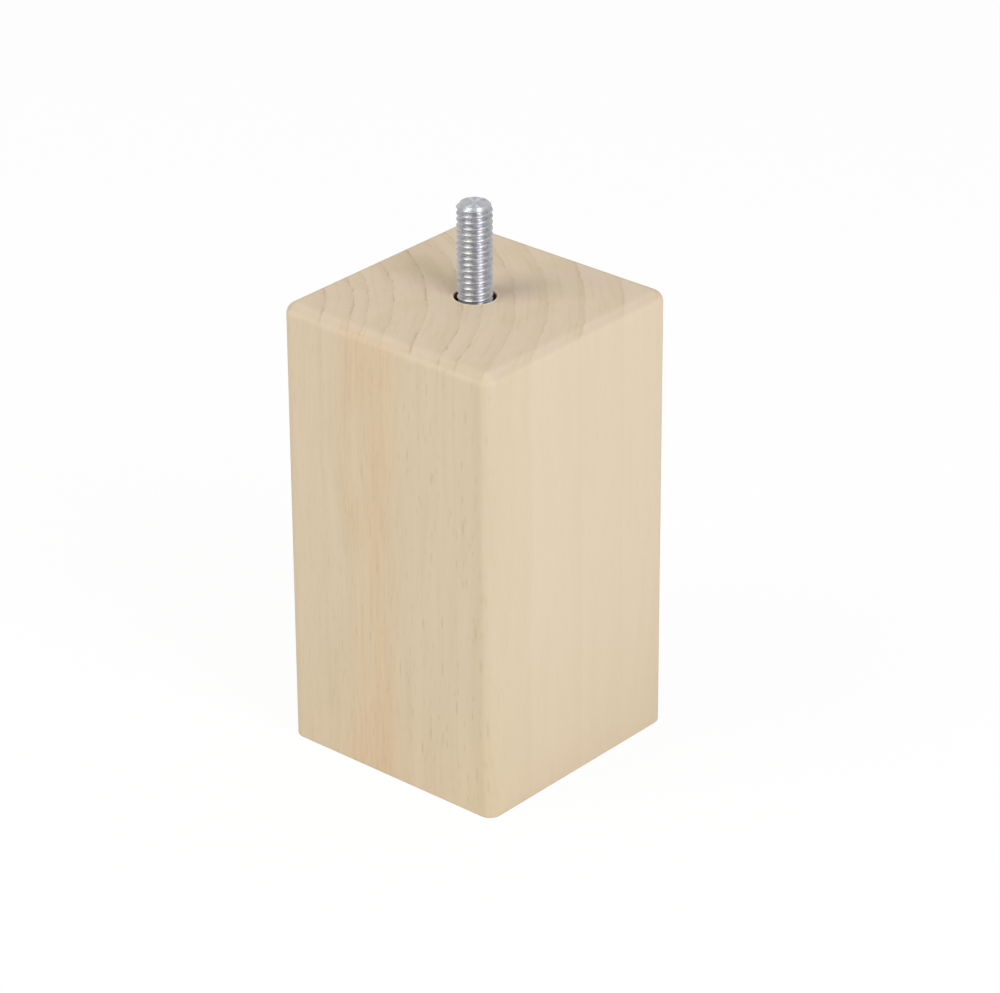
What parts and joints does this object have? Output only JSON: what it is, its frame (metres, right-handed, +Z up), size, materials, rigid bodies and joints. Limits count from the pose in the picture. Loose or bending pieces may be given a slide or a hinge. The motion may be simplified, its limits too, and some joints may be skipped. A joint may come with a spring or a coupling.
{
  "type": "wooden bed leg",
  "caption": "Square beech block leg with softly rounded edges and a threaded steel stud in its top, screwed up into a bed or sofa frame.",
  "frame": {"origin": "middle of the foot, on the floor", "axes": "+Z up through the block along the bolt, +X and +Y square to the block's side faces"},
  "size_m": [0.06, 0.06, 0.13],
  "materials": {
    "beech": "sanded and clear sealed, satin",
    "zinc_steel": "bright zinc plate"
  },
  "bodies": {
    "root": {"leg_block": "beech", "hanger_bolt": "zinc_steel"}
  },
  "joints": []
}
